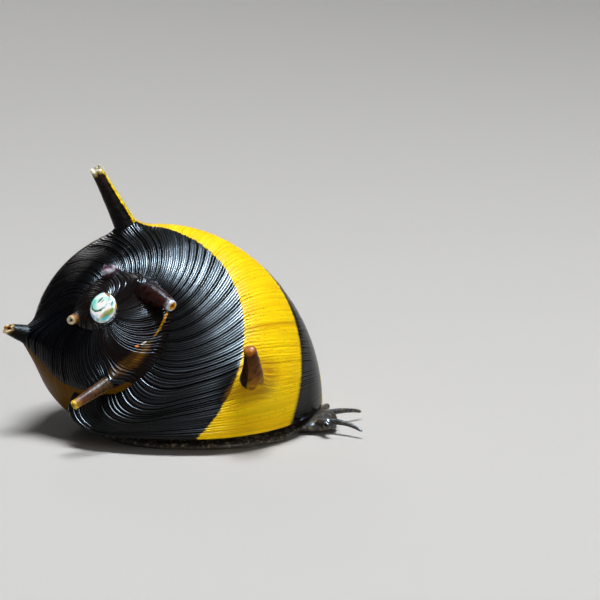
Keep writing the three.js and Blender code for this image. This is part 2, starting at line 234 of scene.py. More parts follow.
# The skin. Its patterns are so many clouds each way of its map.
BLACK = (0.004, 0.0038, 0.0042, 1)
YELLOW = (1.0, 0.68, 0.003, 1)
GOLD_BROWN = (0.19, 0.088, 0.008, 1)
MOTTLE_TINT = (0.97, 0.84, 0.6, 1)
FLECK_TINT = (0.05, 0.025, 0.003, 1)
LINING = (0.62, 0.58, 0.47, 1)
COMB = (150, 20, 1)
COMB_DEPTH = 0.01
STREAKS = (170, 4, 1)
MOTTLES = (25, 14, 1)
FLECKS = (120, 90, 1)
GRAIN = (300, 110, 1)
GRAIN_DEPTH = 0.0025
POLISH = (0.11, 0.24)
YELLOW_DULLS = 0.22
GROOVE_DULLS = 0.35
YELLOW_SHINE = 0.2
FLANK_SHINE = 0.12
FLANK_PLACE = (0.4, 0.48)
SPOT_WARP = 3.0

lean, turn_to = math.radians(AXIS_RISE), math.radians(AXIS_AZIMUTH)
axis = np.array([math.cos(lean) * math.cos(turn_to), math.cos(lean) * math.sin(turn_to), math.sin(lean)])
level = np.cross([0, 0, 1], axis) / math.cos(lean)
rise = np.cross(axis, level)


def bezier(a, b, c, d, u):
    """The point at u of the cubic that leaves a towards b and comes to d from c."""
    u = np.asarray(u)[..., None]
    return a * (1 - u) ** 3 + 3 * b * u * (1 - u) ** 2 + 3 * c * u * u * (1 - u) + d * u ** 3


def slope(angle):
    """The unit vector at an angle below level."""
    return np.array([math.cos(angle), math.sin(angle)])


def eased(u):
    """From 0 to 1 with a level start and a level end."""
    return u * u * (3 - 2 * u)


def section(s, inner):
    """The whorl's outline in shoulder radii, as distance from the axis and depth below the apex: the ramp
    for s from 0 to 1, which starts on the shoulder of the whorl inside it, the flank from 1 to 2 and the
    base in to the columella from 2 to 3, each one cubic."""
    suture = np.stack([inner, SHOULDER[1] * inner + SUTURE_STEP], -1)
    ramp = bezier(suture, suture + RAMP_PULLS[0] * (1 - inner)[..., None] * slope(RAMP_SLOPE),
                  SHOULDER - RAMP_PULLS[1] * slope(SHOULDER_SLOPE), SHOULDER, s)
    flank = bezier(SHOULDER, SHOULDER + FLANK_PULLS[0] * slope(SHOULDER_SLOPE),
                   BASE + FLANK_PULLS[1] * slope(0), BASE, s - 1)
    base = bezier(BASE, BASE - BASE_PULLS[0] * slope(0),
                  COLUMELLA + BASE_PULLS[1] * slope(COLUMELLA_SLOPE), COLUMELLA, s - 2)
    s = s[..., None]
    return np.where(s < 1, ramp, np.where(s < 2, flank, base))


def outward(t):
    """The unit vector from the axis to the whorl at a turn."""
    angle = np.radians(TURN_ZERO - 360 * np.asarray(t, dtype=float))[..., None]
    return np.cos(angle) * level + np.sin(angle) * rise


def whorl_radius(t):
    """The shoulder's radius, which grows by the same share each turn once past the small first turns."""
    early = np.clip((EARLY_TURN - t) / EARLY_RUN, 0, 1)
    return SHOULDER_RADIUS * GROWTH ** t * (1 - (1 - EARLY_SHARE) * eased(early))


def coil_point(s, t):
    """The place of the section's point s at a turn: the outline grown by then and carried round the axis."""
    s, t = np.broadcast_arrays(np.asarray(s, dtype=float), np.asarray(t, dtype=float))
    outline = section(s, whorl_radius(t - 1) / whorl_radius(t)) * whorl_radius(t)[..., None]
    return COIL_APEX + outline[..., :1] * outward(t) - outline[..., 1:] * axis


def coil_normal(s, t):
    """The unit vector square to the shell, outwards: the cross of the ways that growth and section run."""
    step = 1e-4
    along = coil_point(s, t + step) - coil_point(s, t - step)
    across = coil_point(s + step, t) - coil_point(s - step, t)
    square = np.cross(along, across)
    return square / np.linalg.norm(square, axis=-1, keepdims=True)


def wander(x, y, seed):
    """Smooth chance from -1 to 1: seeded values at whole numbers, eased from each to the next both ways."""
    rows, columns = WANDER_GRID
    values = np.random.default_rng(seed).uniform(-1, 1, WANDER_GRID)
    i, j = np.floor(x).astype(int), np.floor(y).astype(int)
    u, v = eased(x - i), eased(y - j)
    low = values[i % rows, j % columns] * (1 - u) + values[(i + 1) % rows, j % columns] * u
    high = values[i % rows, (j + 1) % columns] * (1 - u) + values[(i + 1) % rows, (j + 1) % columns] * u
    return low * (1 - v) + high * v


def lip_turn(s):
    """The turn at which the shell's edge lies: where the section comes down to the lip's level, found by
    halving, and for the inner ramp, which stays above it, a cubic that carries the edge on to the suture."""
    s = np.asarray(s, dtype=float)

    def level_turn(s):
        low, high = (np.full(s.shape, turn) for turn in LIP_TURNS)
        for _ in range(LIP_HALVINGS):
            middle = (low + high) / 2
            above = coil_point(s, middle)[..., 2] > LIP_HEIGHT
            low, high = np.where(above, middle, low), np.where(above, high, middle)
        return (low + high) / 2

    reach = level_turn(np.array([LIP_REACH, LIP_REACH + LIP_STEP]))
    gradient = (reach[1] - reach[0]) / LIP_STEP
    u = np.clip(s / LIP_REACH, 0, 1)
    inner = (LIP_AT_SUTURE * (1 + 2 * u) * (1 - u) ** 2 + reach[0] * eased(u)
             - LIP_REACH * gradient * u * u * (1 - u))
    return np.where(s < LIP_REACH, inner, level_turn(np.maximum(s, LIP_REACH)))


def turn_at(growth, s):
    """The turn that a growth line reaches at s. The lines slant back down the whorl, bowed on the ramp, and
    curl forward on the base. Over the last stretch they swing round to lie along the lip, at growth 0."""
    slant = s - RIB_BOW * s * np.maximum(1 - s, 0)
    line = LAST_GROWTH - RIB_SLANT * slant + BASE_CURL * np.maximum(s - CURL_FROM, 0) ** 2
    near = eased(np.clip(growth / LIP_RUN + 1, 0, 1))
    return growth + line * (1 - near) + lip_turn(s) * near


def ribs_at(growth):
    """How many ribs the shoulder has grown by then: its length so far over the ribs' spacing."""
    radius = SHOULDER_RADIUS * GROWTH ** (growth + LAST_GROWTH - RIB_SLANT)
    return 2 * math.pi * radius / (math.log(GROWTH) * RIB_SPACING)


def growth_at(ribs):
    """The growth at which so many ribs are there, the other way round."""
    radius = ribs * math.log(GROWTH) * RIB_SPACING / (2 * math.pi)
    return np.log(radius / SHOULDER_RADIUS) / math.log(GROWTH) - LAST_GROWTH + RIB_SLANT


def rib_lift(s, ribs):
    """How far the surface stands out, and how deep in a groove it is: straps with round crowns, parted by
    grooves of chance depth that keep it all the way down the whorl, and deeper where growth stopped."""
    phase = ribs + RIB_WANDER[0] * wander(ribs * RIB_WANDER[1], s * RIB_WANDER[2], 3)
    nearest = np.round(phase)
    chance = np.random.default_rng(5).uniform(0, 1, RIB_CHANCES)[nearest.astype(int) % RIB_CHANCES]
    depth = np.where(chance > DEEP_GROOVES, 1.0, SHALLOW_GROOVES[0] + SHALLOW_GROOVES[1] * chance)
    off = phase - nearest
    groove = depth * np.exp(-(off / GROOVE_WIDTH) ** 2)
    lift = -GROOVE_DEPTH * groove + RIB_HEIGHT * (0.5 - 2 * off * off)
    for at, share in GROWTH_STOPS:
        lift = lift - STOP_DEPTH * share * np.exp(-((ribs - at) / STOP_WIDTH) ** 2)
    return lift + SWELL[0] * wander(ribs * SWELL[1], s * SWELL[2], 7), groove


# The wall is drawn up where a horn rises, so the horns' sizes stand here. Turn and at are the foot's place on
# the coil and the section. Lean is out from the axis, along it and ahead. With no cut a dome closes the tip.
HORN_SIZES = ("name", "turn", "at", "length", "root", "tip", "taper", "lean", "bend", "heel", "flare",
              "reach", "ragged", "cut")
HORNS = [dict(zip(HORN_SIZES, row)) for row in (
    ("left_of_apex", -1.434, 0.98, 0.87, 0.36, 0.24, 1.0, (0.29, 0.7, -0.65), 0.0, 0.1, 0.5, 1.0, 0.0, 0.0),
    ("above_apex", -1.19, 1.0, 0.34, 0.66, 0.46, 1.0, (0.6, 0.78, -0.19), 0.0, 0.1, 0.3, 1.3, 0.3, 0.0),
    ("right_of_apex", -1.08, 0.8, 3.3, 0.85, 0.31, 0.9, (-0.085, 0.255, 0.99), 0.05, 0.25, 0.95, 2.3, 0.0,
     0.0),
    ("lower_front", -0.705, 0.93, 3.1, 0.4, 0.26, 1.0, (0.54, 0.53, 0.62), 0.1, 0.1, 0.8, 1.3, 0.0, 0.0),
    ("rear", -0.453, 1.0, 1.84, 0.85, 0.33, 1.3, (0.68, 0.7, 0.18), 0.0, 0.1, 1.15, 2.5, 0.1, 0.15),
    ("top", -0.19, 1.06, 3.93, 0.72, 0.35, 1.4, (0.68, 0.7, -0.26), 0.0, 0.1, 0.8, 1.7, 0.14, 0.0),
    ("front", 0.135, 1.09, 3.25, 0.85, 0.36, 1.3, (0.14, 0.89, -0.39), 0.1, 0.3, 1.2, 2.2, 0.0, None),
)]


def horn_stance(horn):
    """A horn's foot, and the ways there that the horn leans, the shell faces and the whorl grows."""
    foot = coil_point(horn["at"], horn["turn"])
    ahead = coil_point(horn["at"], horn["turn"] + 1e-3) - foot
    ahead /= np.linalg.norm(ahead)
    way = np.array(horn["lean"]) @ np.stack([outward(horn["turn"]), axis, ahead])
    return foot, way / np.linalg.norm(way), coil_normal(horn["at"], horn["turn"]), ahead


def flared(points, t):
    """The wall drawn up towards each horn: a point within reach of the foot moves between the horn's way and
    square out of the shell, by a share that falls off as a power of the distance."""
    for horn in HORNS:
        foot, way, square = horn_stance(horn)[:3]
        way = (way + square) / np.linalg.norm(way + square)
        away = np.linalg.norm(points - foot, axis=-1)
        share = (horn["reach"] - away) / (horn["reach"] - FLARE_TOP * horn["root"])
        share = np.clip(share, 0, 1) ** FLARE_FALL * (np.abs(t - horn["turn"]) < FLARE_TURNS)
        points = points + (horn["flare"] * share)[..., None] * way
    return points


def settle(points):
    """Points below the lip's level are laid on it, so that the shell is flat where its callus is."""
    lifted = points.copy()
    lifted[..., 2] = np.maximum(points[..., 2], LIP_HEIGHT + LIP_CLEARANCE)
    return lifted


def maths(tree, operation, *values):
    """One sum on values or other nodes' outputs."""
    return node(tree, "Math", dict(enumerate(values)), operation=operation).outputs[0]


def ranged(tree, value, low, high, at_low=0.0, at_high=1.0):
    """A value laid over from low and high to what it shall be there, and held beyond them."""
    return node(tree, "MapRange", {0: value, 1: low, 2: high, 3: at_low, 4: at_high}).outputs[0]


def mixed(tree, share, under, over, blend="MIX"):
    """Two colours blended by the share of the second."""
    return node(tree, "MixRGB", {0: share, 1: under, 2: over}, blend_type=blend).outputs[0]


def noise(tree, where, scale, detail, roughness=0.5):
    """Cloudy chance about 0.5. A scale of three numbers is so many clouds each way of the map."""
    if isinstance(scale, tuple):
        where, scale = node(tree, "Mapping", {0: where, 3: scale}).outputs[0], 1
    wanted = {0: where, "Scale": scale, "Detail": detail, "Roughness": roughness}
    return node(tree, "TexNoise", wanted).outputs[0]


def ramped(tree, value, stops):
    """The colour that a run of stops, [place, colour] each from low to high, has at the value."""
    made = node(tree, "ValToRGB", {0: value})
    run = made.color_ramp.elements
    run[0].position, run[0].color = stops[0]
    run[1].position, run[1].color = stops[-1]
    for place, colour in stops[1:-1]:
        run.new(place).color = colour
    return made.outputs[0]


def bumped(tree, shader, height, strength, depth):
    """Relief in the shading only, of a strength and a depth in millimetres."""
    bump = node(tree, "Bump", {"Strength": strength, "Distance": depth * MM, "Height": height}).outputs[0]
    tree.links.new(bump, shader.inputs["Normal"])


def grey(value):
    """The colour whose three parts are the value."""
    return (value, value, value, 1)


def spotted(tree, colour, part, warp, spots):
    """A colour with patches of others laid over it, each an oval on the map, [middle, half sizes, turn in
    degrees, tint, share, softness], its edge roughened by the warp."""
    for middle, half, turned, tint, share, soft in spots:
        cos, sin = math.cos(math.radians(turned)), math.sin(math.radians(turned))
        away = []
        for (x, y), size in zip(((cos, sin), (-sin, cos)), half):
            across = maths(tree, "MULTIPLY_ADD", part[0], x / size, -(middle[0] * x + middle[1] * y) / size)
            along = maths(tree, "MULTIPLY_ADD", part[1], y / size, across)
            away.append(maths(tree, "POWER", along, 2.0))
        reach = maths(tree, "MULTIPLY_ADD", warp, SPOT_WARP, maths(tree, "ADD", *away))
        colour = mixed(tree, ranged(tree, reach, 1 - soft, 1 + soft, share, 0.0), colour, tint)
    return colour


def shell_finish(name, bands, ages, edges, age_span, spots=(), shine=(0, 1, 0.24, 0.24)):
    """The shell's skin, on its own map: u counts ribs in hundreds and v is the section's s over 3. Bands of
    colour run along the whorl below an edge that shifts with age, and are combed by the ribs. Age, along u,
    also darkens the oldest with painted shade, lets the growth stops show as dark lines and dulls the newest
    by the lip. Spots lie over all. Shine is two places on u and the specular level at each. Grooves, yellow
    and flank shine less."""
    material, tree, shader = finish(name)
    lie = node(tree, "UVMap", uv_map="lie").outputs["UV"]
    part = node(tree, "SeparateXYZ", {0: lie}).outputs
    age = ranged(tree, part[0], *age_span)
    edge = ramped(tree, age, [(at, grey(value)) for at, value in edges])
    combed = maths(tree, "SUBTRACT", noise(tree, lie, COMB, 3), 0.5)
    s = maths(tree, "SUBTRACT", maths(tree, "MULTIPLY_ADD", combed, COMB_DEPTH, part[1]), edge)
    band = ramped(tree, maths(tree, "ADD", s, 1 / 3), bands)
    streaks = noise(tree, lie, STREAKS, 4, 0.7)
    colour = mixed(tree, 1.0, band, ramped(tree, age, ages), "MULTIPLY")
    colour = mixed(tree, 1.0, colour, ranged(tree, streaks, 0.3, 0.6, 0.7, 1.0), "MULTIPLY")
    mottle = ranged(tree, noise(tree, lie, MOTTLES, 3), 0.42, 0.6, 0.0, 0.7)
    colour = mixed(tree, mottle, colour, MOTTLE_TINT, "MULTIPLY")
    cells = node(tree, "Mapping", {0: lie, 3: FLECKS}).outputs[0]
    fleck = node(tree, "TexVoronoi", {0: cells, "Scale": 1}).outputs[0]
    colour = mixed(tree, ranged(tree, fleck, 0.06, 0.16, 0.8, 0.0), colour, FLECK_TINT)
    colour = spotted(tree, colour, part, combed, spots)
    tree.links.new(colour, shader.inputs["Base Color"])
    bright = node(tree, "SeparateColor", {0: band}).outputs[0]
    groove = node(tree, "Attribute", attribute_name="groove").outputs["Fac"]
    rough = maths(tree, "MULTIPLY_ADD", bright, YELLOW_DULLS, ranged(tree, streaks, 0.3, 0.7, *POLISH))
    rough = maths(tree, "MULTIPLY_ADD", groove, GROOVE_DULLS, rough)
    tree.links.new(rough, shader.inputs["Roughness"])
    level = maths(tree, "MULTIPLY", ranged(tree, part[0], *shine), ranged(tree, groove, 0.1, 0.6, 1.0, 0.0))
    level = maths(tree, "MULTIPLY", level, ranged(tree, bright, 0.0, 1.0, 1.0, YELLOW_SHINE))
    level = maths(tree, "MULTIPLY", level, ranged(tree, part[1], *FLANK_PLACE, 1.0, FLANK_SHINE))
    tree.links.new(level, shader.inputs["Specular IOR Level"])
    bumped(tree, shader, noise(tree, lie, GRAIN, 2), 0.5, GRAIN_DEPTH)
    return material


def whorl_shell(name, first, last, s_end, wall, strength, materials, lap):
    """A wall of shell: the coil's outer surface over a run of growth, ribbed, and the same line drawn in by
    the wall as its lining, joined along the suture and the far edge and closed at both ends. At the lip both
    come together in a half round, and where it laps under an older piece it is sunk a little."""
    at_lip = last == 0
    rows = int(BODY_ROWS * (ribs_at(last) - ribs_at(first)) / (ribs_at(0) - ribs_at(SEAM_GROWTH)))
    ribs = np.linspace(ribs_at(first), ribs_at(last), max(rows, FEWEST_ROWS))[:, None]
    s = np.linspace(0, s_end, ACROSS + 1)[None, :]
    growth = growth_at(ribs)
    t = turn_at(growth, s)
    s_grid = s + 0 * t
    count = ribs + 0 * t
    normal = coil_normal(s_grid, t)
    outline = coil_point(s_grid, t)
    to_lip = (ribs[-1:] - ribs) * RIB_SPACING
    bend = np.clip(1 - to_lip / LIP_RADIUS, 0, 1) * at_lip
    drawn_in = LIP_RADIUS * (1 - np.sqrt(1 - bend ** 2))
    fade = np.clip(to_lip / LIP_SMOOTH, 0, 1) if at_lip else 1.0
    sunk = lap * np.clip((SEAM_GROWTH - growth) / SEAM_RUN, 0, 1)
    lift, groove = rib_lift(s_grid, count)
    outer = outline + normal * (lift * strength(s_grid) * fade - drawn_in - sunk)[..., None]
    lip_wall = 2 * LIP_RADIUS + (wall - 2 * LIP_RADIUS) * np.clip(to_lip / LIP_THINNING, 0, 1)
    from_axis = np.linalg.norm(np.cross(outline - COIL_APEX, axis), axis=-1)
    thickness = np.minimum(lip_wall if at_lip else wall, WALL_OF_RADIUS * from_axis)
    outer = flared(outer, t)
    inner = (outline - normal * (thickness - drawn_in)[..., None])[:, ::-LINING_STEP]
    rings = settle(np.concatenate([outer, inner], axis=1))
    rows, columns = rings.shape[:2]
    faces = quads(rows, columns, wrap=True)
    k = np.arange(ACROSS // LINING_STEP)
    a, b = columns - 1 - k, columns - 2 - k
    o = [LINING_STEP * k + step for step in range(LINING_STEP + 1)]
    cap = np.concatenate([np.stack(three, -1) for three in
                          ((a, o[0], o[1]), (a, o[1], o[2]), (a, o[2], b), (b, o[2], o[3]))])
    lie = np.stack([count / 100, s_grid / 3], -1)
    lie = np.concatenate([lie, lie[:, ::-LINING_STEP]], axis=1)
    blocks = [faces, cap, cap[:, ::-1] + (rows - 1) * columns]
    piece = make_piece(name, rings.reshape(-1, 3), blocks, materials, lie.reshape(-1, 2))
    lining = np.zeros(len(piece.data.polygons), dtype=np.int32)
    lining[: len(faces)] = (np.arange(len(faces)) % columns) > ACROSS
    piece.data.polygons.foreach_set("material_index", lining)
    groove = np.concatenate([groove * strength(s_grid) * fade, 0 * inner[..., 0]], axis=1)
    kept = piece.data.attributes.new("groove", "FLOAT", "POINT")
    kept.data.foreach_set("value", groove.astype(np.float32).ravel())
    return piece


def ramp_ribs(s):
    """Ribs stand out on the black ramp and are faint lines past the shoulder, on the flank and base."""
    return FLANK_RIBS + (1 - FLANK_RIBS) / (1 + np.exp((s - RAMP_RIBS_END) / RIBS_FADE))


AGE_SPAN = (1.2, 3.2)
WHITE = grey(1.0)
# Painted shade: the oldest stretch of the body whorl, low where the shoulder turns under, darkened to dim
# brown.
SHADED_OLD_TURN = (0.12, 0.08, 0.3, 1)
STOPPED = (0.6, 0.42, 0.2, 1)
BANDS = [(0.0, BLACK), (0.332, BLACK), (0.3345, YELLOW), (0.456, YELLOW), (0.459, BLACK), (0.5485, BLACK),
         (0.5535, YELLOW), (0.93, YELLOW), (1.0, (0.75, 0.6, 0.3, 1))]
EDGES = [(175, 0.345), (195, 0.362), (216, 0.36), (230, 0.35), (237, 0.338), (244, 0.3335), (255, 0.329),
         (273, 0.3265)]
# Painted shadow: a dark brown patch on the yellow band beside and under the front horn's root.
FRONT_HORN_SHADE = [((2.925, 0.362), (0.075, 0.034), 0, (0.32, 0.14, 0.005, 1), 0.85, 0.9)]


def age_of(ribs):
    """A count of ribs as a share of the body's span, which is in hundreds of ribs."""
    return (ribs / 100 - AGE_SPAN[0]) / (AGE_SPAN[1] - AGE_SPAN[0])


# The first stops are painted shade on the oldest stretch, fading out by 235 ribs; the growth stops are real.
ages = [(0.0, SHADED_OLD_TURN), (age_of(182), SHADED_OLD_TURN), (age_of(208), (0.3, 0.2, 0.12, 1)), (age_of(235), WHITE)]
for at, _ in GROWTH_STOPS[:2]:
    ages += [(age_of(at - 0.5), WHITE), (age_of(at), STOPPED), (age_of(at + 0.5), WHITE)]
ages += [(age_of(300), WHITE), (1.0, (0.8, 0.72, 0.5, 1))]
edges = [(0.0, EDGES[0][1]), *((age_of(ribs), s) for ribs, s in EDGES), (1.0, EDGES[-1][1])]
shell_look = shell_finish("shell_black_and_yellow", BANDS, ages, edges, AGE_SPAN, FRONT_HORN_SHADE)
lining_look = finish("shell_lining", Base_Color=LINING, Roughness=0.25)[0]
body = whorl_shell("shell_body_whorl_skin", SEAM_GROWTH - SEAM_LAP, 0, WHOLE_SECTION, WALL, ramp_ribs,
                   [shell_look, lining_look], SEAM_SUNK)
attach(body, "root")
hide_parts("shell_body_whorl")

# The spire: the early turns, of which only the ramps show, each with its rounded rim proud of the next. It is
# the same wall of lime, black, with a thin gold line along the last rim and a worn gold patch under it.
SPIRE_SPAN = (0.0, 1.5)
SPIRE_FIRST = -2.3
SPIRE_WALL = 0.5
SPIRE_SIDE = 1.35
SPIRE_RIBS = 0.8
SPIRE_SHINE = (1.08, 1.16, 0.3, 0.05)
SPIRE_BLACK = (0.008, 0.005, 0.005, 1)
SPIRE_SPOTS = [
    ((1.197, 0.321), (0.042, 0.0065), -42.8, (0.62, 0.3, 0.006, 1), 1.0, 0.3),
    ((1.315, 0.278), (0.083, 0.036), 3, (0.05, 0.022, 0.004, 1), 1.0, 0.35),
    ((1.29, 0.285), (0.05, 0.014), 3, (0.13, 0.055, 0.004, 1), 0.8, 0.6),
    ((1.247, 0.258), (0.012, 0.004), -60, (0.75, 0.7, 0.6, 1), 1.0, 0.3),
    ((1.262, 0.236), (0.008, 0.007), 0, (0.8, 0.2, 0.02, 1), 1.0, 0.2),
]
plain, even, level_edge = ([(0.0, value), (1.0, value)] for value in (SPIRE_BLACK, WHITE, 1 / 3))
spire_look = shell_finish("shell_spire_black", plain, even, level_edge, SPIRE_SPAN, SPIRE_SPOTS, SPIRE_SHINE)
spire = whorl_shell("shell_spire_skin", SPIRE_FIRST, SEAM_GROWTH, SPIRE_SIDE, SPIRE_WALL,
                    lambda s: SPIRE_RIBS + 0 * s, [spire_look, lining_look], 0.0)
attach(spire, "root")
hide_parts("shell_spire")

# The horns: hollow tubes of shell that the mantle's edge drew out along the shoulder, seven of them, each on
# the wall's own flare. Most are broken or worn open at the tip, with a thin pale rim. Their colours run from
# the root, 0, over the rim, 1 to 1.06, and down the bore, on the ramp's side and on the flank's side.
BROWN = (0.04, 0.017, 0.009, 1)
AMBER = (0.42, 0.17, 0.012, 1)
CREAM = (0.82, 0.72, 0.48, 1)
PEARL = (0.75, 0.8, 0.85, 1)
TOFFEE = (0.4, 0.13, 0.01, 1)
HONEY = (0.6, 0.22, 0.015, 1)
ORANGE = (0.85, 0.5, 0.03, 1)
HORN_COLOURS = {
    "left_of_apex": ([(0, BLACK), (0.5, BROWN), (0.9, AMBER), (0.99, CREAM), (1.06, CREAM), (1.12, AMBER),
                      (1.3, BLACK)], None),
    "above_apex": ([(0, BLACK), (0.5, BLACK), (0.85, (0.05, 0.02, 0.03, 1)), (0.99, PEARL),
                    (1.02, (0.3, 0.2, 0.28, 1)), (1.06, (0.12, 0.02, 0.04, 1)), (1.3, (0.2, 0.03, 0.02, 1))],
                   None),
    "right_of_apex": ([(0, BLACK), (0.3, (0.012, 0.004, 0.004, 1)), (0.9, (0.035, 0.009, 0.006, 1)),
                       (0.965, (0.3, 0.3, 0.34, 1)), (0.99, PEARL), (1.02, PEARL),
                       (1.035, (0.85, 0.4, 0.02, 1)), (1.16, (0.75, 0.28, 0.01, 1)), (1.24, BLACK),
                       (1.3, BLACK)], None),
    "lower_front": ([(0, (0.02, 0.012, 0.006, 1)), (0.3, (0.09, 0.05, 0.02, 1)),
                     (0.8, (0.12, 0.045, 0.02, 1)), (0.93, (0.35, 0.16, 0.03, 1)), (0.98, ORANGE),
                     (1.04, (0.85, 0.55, 0.05, 1)), (1.07, BLACK), (1.3, BLACK)],
                    [(0, (0.05, 0.03, 0.008, 1)), (0.3, (0.25, 0.16, 0.05, 1)), (0.85, (0.4, 0.22, 0.05, 1)),
                     (0.97, ORANGE), (1.3, BLACK)]),
    "rear": ([(0, BLACK), (0.9, BLACK), (0.98, (0.3, 0.17, 0.02, 1)), (1.01, CREAM),
              (1.05, (0.5, 0.28, 0.03, 1)), (1.12, BROWN), (1.3, BLACK)],
             [(0, GOLD_BROWN), (0.5, BROWN), (0.75, AMBER), (0.9, (0.8, 0.45, 0.02, 1)), (1.01, CREAM),
              (1.05, AMBER), (1.12, BROWN), (1.3, BLACK)]),
    "top": ([(0, BLACK), (0.5, (0.008, 0.005, 0.004, 1)), (0.93, (0.02, 0.009, 0.006, 1)),
             (0.965, (0.6, 0.4, 0.06, 1)), (0.99, CREAM), (1.06, (0.8, 0.8, 0.66, 1)), (1.3, AMBER)],
            [(0, GOLD_BROWN), (0.1, YELLOW), (0.95, YELLOW), (1.0, CREAM), (1.3, AMBER)], 0.0),
    "front": ([(0, BLACK), (0.3, BLACK), (0.6, (0.025, 0.009, 0.004, 1)), (0.95, (0.05, 0.016, 0.005, 1)),
               (1.02, TOFFEE), (1.3, HONEY)],
              [(0, (0.5, 0.25, 0.006, 1)), (0.3, (0.36, 0.16, 0.006, 1)), (0.5, (0.14, 0.05, 0.005, 1)),
               (0.95, (0.07, 0.02, 0.004, 1)), (1.02, TOFFEE), (1.3, HONEY)]),
}
RIM_TO = 1.06
BORE_TO = 1.3
HORN_AROUND = 48
TUBE_ROWS = 40
DOME_RINGS = 8
RIM_RINGS = 5
BORE_RINGS = 6
HORN_HOLE = 0.8
HOLE_OF_LENGTH = 0.6
HORN_BORE = 0.42
BORE_TAPER = 0.2
ROOT_SUNK = 0.5
HEEL_ROUND = 0.5
KNOTS = 0.02
KNOT_CLOUDS = (5, 1.3)
CHIP_CLOUDS = 2.2
CHIP_FALL = 6
DOME_RISE = 0.6
DOME_TOP = 0.04
RIM_RISE = 0.35
ALMOST_AHEAD = 0.85
FLANK_TURN = 1.1
FLANK_BLEND = 0.12
HORN_MOTTLES = 3.5
HORN_GRAINS = 9
HORN_LINES = (9, 55, 1)
HORN_RELIEF = 0.035
HORN_SHINE = 0.07
BODY_HORNS_FROM = -0.655


def horn_rings(horn, seed):
    """Rings along a quadratic curve from the foot, under which a heel goes straight down into the shell, to
    the tip, the radius falling from root to tip, and how far along the horn each is. An open tip ends in a
    half-round rim and a bore, a closed one in a dome."""
    foot, way, square, ahead = horn_stance(horn)
    length, root, tip = horn["length"], horn["root"], horn["tip"]
    knee = foot + 0.5 * length * way + horn["bend"] * length * square
    end = foot + length * way
    down = coil_point(horn["at"] + 0.01, horn["turn"]) - foot
    heel = horn["heel"]
    u = np.linspace(-heel, 1, TUBE_ROWS)[:, None]
    risen, sunk = np.maximum(u, 0), np.minimum(u, 0)
    line = foot * (1 - risen) ** 2 + 2 * knee * risen * (1 - risen) + end * risen ** 2
    line = line + (sunk * length - ROOT_SUNK * root * (1 - risen) ** 2) * square
    along = (knee - foot) * (1 - risen) + (end - knee) * risen
    along /= np.linalg.norm(along, axis=1, keepdims=True)
    side = ahead if abs(np.dot(ahead, way)) < ALMOST_AHEAD else np.cross(down, way)
    side = side - along * (along @ side)[:, None]
    side /= np.linalg.norm(side, axis=1, keepdims=True)
    over = np.cross(along, side)
    over *= np.sign(over[-1] @ down)
    angle = np.linspace(0, 2 * math.pi, HORN_AROUND, endpoint=False)[:, None]
    ring = np.cos(angle) * side[:, None] + np.sin(angle) * over[:, None]
    size = tip + (root - tip) * (1 - risen) ** horn["taper"]
    narrowed = np.clip((HEEL_ROUND * heel - u) / ((1 + HEEL_ROUND) * heel), 0, 1)
    size = size * np.sqrt(np.maximum(1 - narrowed ** 2, 0.01))
    around = angle[:, 0]
    knots = wander(u * length * KNOT_CLOUDS[0], around[None, :] * KNOT_CLOUDS[1], 12 + seed)
    size = size + KNOTS * root * knots
    chip = horn["ragged"] * wander(around * CHIP_CLOUDS, 0 * around + seed, 11)
    chip = chip + (horn["cut"] or 0) * np.sin(around)
    tube = line[:, None] + ring * size[..., None] + way * (chip * risen ** CHIP_FALL)[..., None]
    wall = tip * (1 - HORN_BORE)
    final = (end + way * chip[:, None])[None]
    ring = ring[-1:]
    if horn["cut"] is None:
        polar = np.linspace(0, math.pi / 2, DOME_RINGS + 2)[1:-1, None, None]
        rim = final + way * DOME_RISE * tip * np.sin(polar) + ring * tip * np.cos(polar)
        bore = final + way * DOME_RISE * tip + ring * DOME_TOP * tip
    else:
        half = np.linspace(0, math.pi, RIM_RINGS + 1)[1:, None, None]
        rim = final + way * RIM_RISE * wall * np.sin(half) + ring * (tip - 0.5 * wall * (1 - np.cos(half)))
        deep = np.linspace(0, 1, BORE_RINGS + 1)[1:, None, None]
        hole = min(HORN_HOLE, HOLE_OF_LENGTH * length)
        bore = final - way * hole * deep + ring * (tip - wall) * (1 - BORE_TAPER * deep)
    rings = np.concatenate([tube, rim, bore])
    lie = np.concatenate([risen[:, 0], np.linspace(1, RIM_TO, len(rim) + 1)[1:],
                          np.linspace(RIM_TO, BORE_TO, len(bore) + 1)[1:]])
    around = np.linspace(0, 1, HORN_AROUND, endpoint=False)
    return rings, np.stack(np.broadcast_arrays(around[None, :], lie[:, None]), -1)


def capped(rings):
    """The faces of a tube of rings, closed at each end by a fan to one more point."""
    rows, columns = rings.shape[:2]
    j = np.arange(columns)
    k = (j + 1) % columns
    last = (rows - 1) * columns
    top, end = rows * columns, rows * columns + 1
    return [quads(rows, columns, wrap=True), np.stack([0 * j + top, k, j], -1),
            np.stack([0 * j + end, last + j, last + k], -1)]


def with_poles(rings, first=None, last=None):
    """A tube's points, and after them the two that close its ends, by default the end rings' middles."""
    first = rings[0].mean(axis=0) if first is None else first
    last = rings[-1].mean(axis=0) if last is None else last
    return np.concatenate([rings.reshape(-1, 3), [first, last]])


